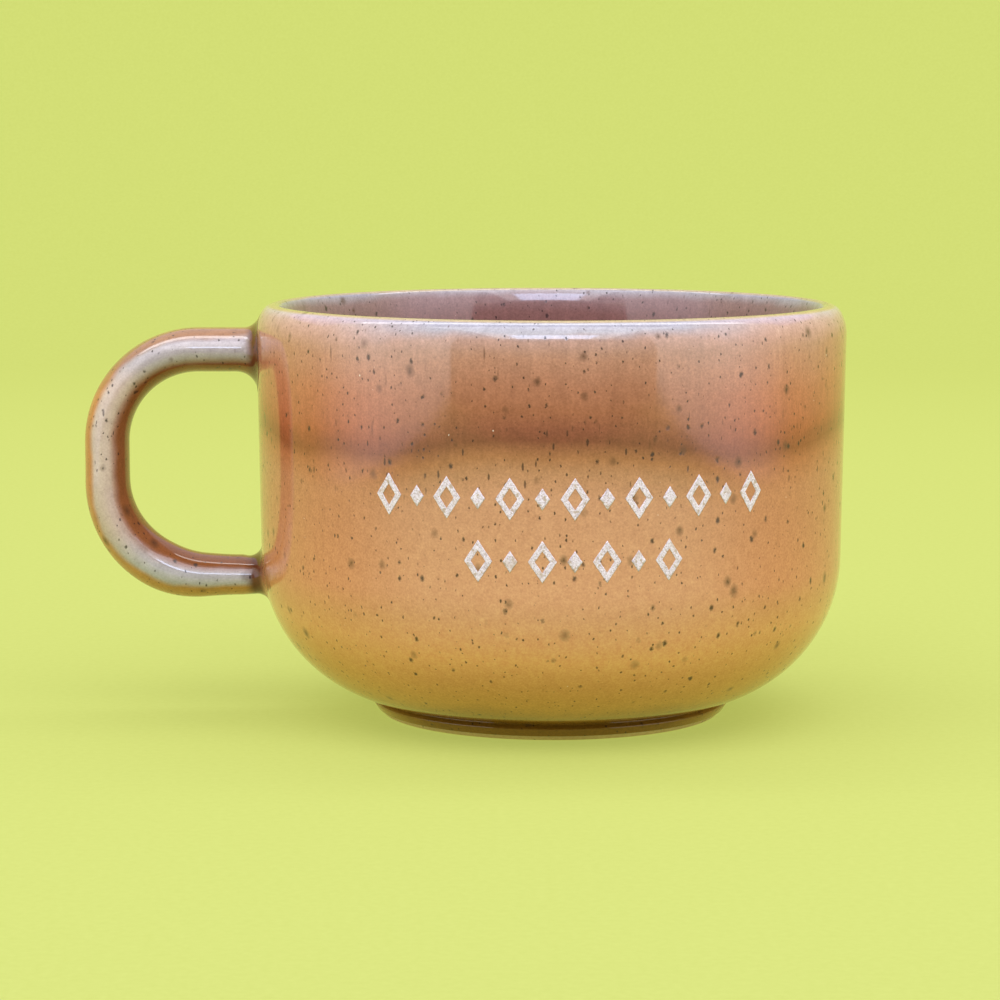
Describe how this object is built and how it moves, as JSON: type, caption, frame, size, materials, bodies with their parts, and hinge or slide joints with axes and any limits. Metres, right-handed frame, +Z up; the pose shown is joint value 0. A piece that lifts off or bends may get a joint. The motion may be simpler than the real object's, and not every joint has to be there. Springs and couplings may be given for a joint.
{
  "type": "stoneware mug",
  "caption": "Wide round-bellied stoneware mug with a C-shaped oval handle, a low turned foot and a frosted band of lozenges on the front of its brown glaze.",
  "frame": {"origin": "the cup's axis at the plane it stands on", "axes": "+Z up along the cup's axis, the handle points to -X and the decorated front faces -Y"},
  "size_m": [0.1428, 0.1102, 0.077],
  "materials": {
    "stoneware_clay": "bare fired stoneware, fine grit, matt",
    "slip": "fired slip, matt, under the glaze",
    "brown_glaze": "glossy honey-brown glaze with dark iron specks",
    "liner_glaze": "glossy brown glaze",
    "frosted_glaze": "blasted glaze, matt and pale"
  },
  "bodies": {
    "root": {"cup_body": "stoneware_clay", "foot_ring": "stoneware_clay", "handle": "stoneware_clay", "upper_slip_joint": "slip", "lower_slip_joint": "slip", "outer_glaze": "brown_glaze", "liner_glaze": "liner_glaze", "handle_glaze": "brown_glaze", "foot_glaze": "brown_glaze", "base_glaze": "brown_glaze", "frosted_band": "frosted_glaze"}
  },
  "joints": []
}
